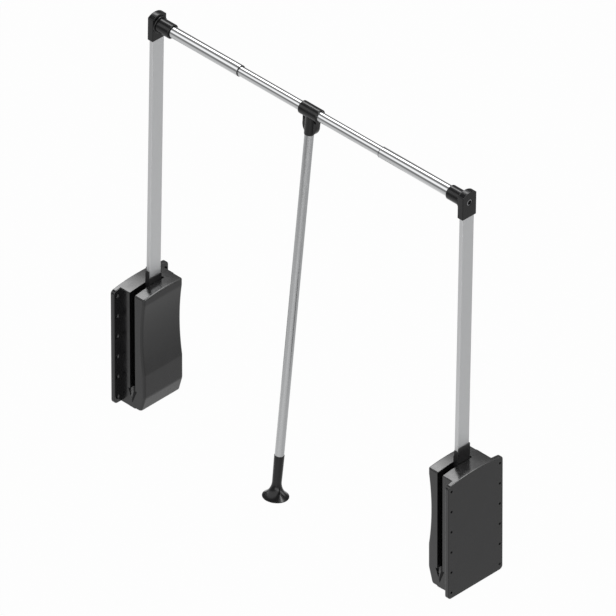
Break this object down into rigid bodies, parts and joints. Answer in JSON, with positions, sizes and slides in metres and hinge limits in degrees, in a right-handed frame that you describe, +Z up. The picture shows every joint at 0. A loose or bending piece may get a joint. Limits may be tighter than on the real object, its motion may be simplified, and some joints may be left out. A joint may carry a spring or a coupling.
{
  "type": "pull down closet rod",
  "caption": "Wall-to-wall wardrobe lift: a telescopic hanging rod on two swinging arms with damped spring units, pulled down by a hinged handle.",
  "frame": {"origin": "middle of the left mounting plate's outer face, which is the middle of its screw pattern", "axes": "+X from the left lift unit to the right one, -Y towards the user, +Z up"},
  "size_m": [0.863, 0.1732, 0.845],
  "materials": {
    "housing_plastic": "black, fine moulded texture",
    "cover_plastic": "black, satin",
    "side_plate_steel": "black coated sheet steel",
    "frame_steel": "zinc-plated sheet steel",
    "screw_steel": "zinc-plated",
    "rivet_steel": "plated",
    "bush_nylon": "natural nylon",
    "liner_nylon": "black acetal",
    "damper_steel": "satin",
    "spring_steel": "oiled spring wire",
    "shaft_steel": "ground and plated",
    "gear_steel": "hobbed, oiled",
    "buffer_rubber": "matt",
    "shoe_plastic": "black, satin",
    "arm_aluminium": "grey, satin painted",
    "head_plastic": "black, satin, moulded",
    "rod_chrome": "polished chrome plate",
    "ring_plastic": "black",
    "clamp_plastic": "black, satin, moulded",
    "handle_aluminium": "drawn and anodised, lengthwise grain",
    "knob_plastic": "black, semi-gloss, moulded"
  },
  "bodies": {
    "left_housing": {"left_base": "housing_plastic", "left_wall_side_plate": "side_plate_steel", "left_slot_spacer": "housing_plastic", "left_cover_side_plate": "side_plate_steel", "left_cover": "cover_plastic", "left_frame_screws": "screw_steel", "left_shaft_bushes": "bush_nylon", "left_damper_cylinder": "damper_steel", "left_spring_seat": "frame_steel", "left_springs": "spring_steel", "left_stop_buffer": "buffer_rubber"},
    "left_arm": {"left_pivot_shaft": "shaft_steel", "left_shaft_clip": "spring_steel", "left_pinion": "gear_steel", "left_arm_shoe": "shoe_plastic", "left_arm_tube": "arm_aluminium", "left_arm_rivets": "rivet_steel", "left_arm_head": "head_plastic", "left_head_screw": "screw_steel", "left_outer_tube": "rod_chrome", "left_guide_ring": "ring_plastic"},
    "left_rack": {"left_rack": "gear_steel", "left_damper_rod": "shaft_steel"},
    "right_housing": {"right_base": "housing_plastic", "right_wall_side_plate": "side_plate_steel", "right_slot_spacer": "housing_plastic", "right_cover_side_plate": "side_plate_steel", "right_cover": "cover_plastic", "right_frame_screws": "screw_steel", "right_shaft_bushes": "bush_nylon", "right_damper_cylinder": "damper_steel", "right_spring_seat": "frame_steel", "right_springs": "spring_steel", "right_stop_buffer": "buffer_rubber"},
    "right_arm": {"right_pivot_shaft": "shaft_steel", "right_shaft_clip": "spring_steel", "right_pinion": "gear_steel", "right_arm_shoe": "shoe_plastic", "right_arm_tube": "arm_aluminium", "right_arm_rivets": "rivet_steel", "right_arm_head": "head_plastic", "right_head_screw": "screw_steel", "right_outer_tube": "rod_chrome", "right_guide_ring": "ring_plastic"},
    "right_rack": {"right_rack": "gear_steel", "right_damper_rod": "shaft_steel"},
    "inner_rod": {"inner_tube": "rod_chrome"},
    "liner": {"clamp_liner": "liner_nylon"},
    "handle": {"handle_clamp_front": "clamp_plastic", "handle_clamp_rear": "clamp_plastic", "clamp_screws": "screw_steel", "handle_tube": "handle_aluminium", "handle_knob": "knob_plastic"}
  },
  "joints": [
    {"name": "width_adjust", "type": "slide", "parent": "left_housing", "child": "right_housing", "axis": [1, 0, 0], "range_m": [-0.033, 0.287]},
    {"name": "left_arm_swing", "type": "hinge", "parent": "left_housing", "child": "left_arm", "pos_m": [0.0385, -0.002, -0.054], "axis": [1, 0, 0], "range_deg": [0, 105], "stiffness_Nm_per_rad": 3, "springref_deg": -126.05},
    {"name": "right_arm_swing", "type": "hinge", "parent": "right_housing", "child": "right_arm", "pos_m": [0.8245, -0.002, -0.054], "axis": [1, 0, 0], "range_deg": [0, 105]},
    {"name": "left_rack_slide", "type": "slide", "parent": "left_housing", "child": "left_rack", "axis": [0, 0, 1], "range_m": [0, 0.044], "deforming": ["left_springs"]},
    {"name": "right_rack_slide", "type": "slide", "parent": "right_housing", "child": "right_rack", "axis": [0, 0, 1], "range_m": [0, 0.044], "deforming": ["right_springs"]},
    {"name": "inner_rod_slide", "type": "slide", "parent": "left_arm", "child": "inner_rod", "axis": [1, 0, 0], "range_m": [-0.0165, 0.1435]},
    {"name": "handle_slide", "type": "slide", "parent": "inner_rod", "child": "liner", "axis": [1, 0, 0], "range_m": [-0.12, 0.12]},
    {"name": "handle_swing", "type": "hinge", "parent": "liner", "child": "handle", "pos_m": [0.4315, 0.01504, 0.69701], "axis": [1, 0, 0], "continuous": true}
  ],
  "couplings": [
    {"joint": "right_arm_swing", "follows": "left_arm_swing", "ratio": 1},
    {"joint": "left_rack_slide", "follows": "left_arm_swing", "m_per_rad": 0.024},
    {"joint": "right_rack_slide", "follows": "left_arm_swing", "m_per_rad": 0.024},
    {"joint": "inner_rod_slide", "follows": "width_adjust", "ratio": 0.5}
  ]
}
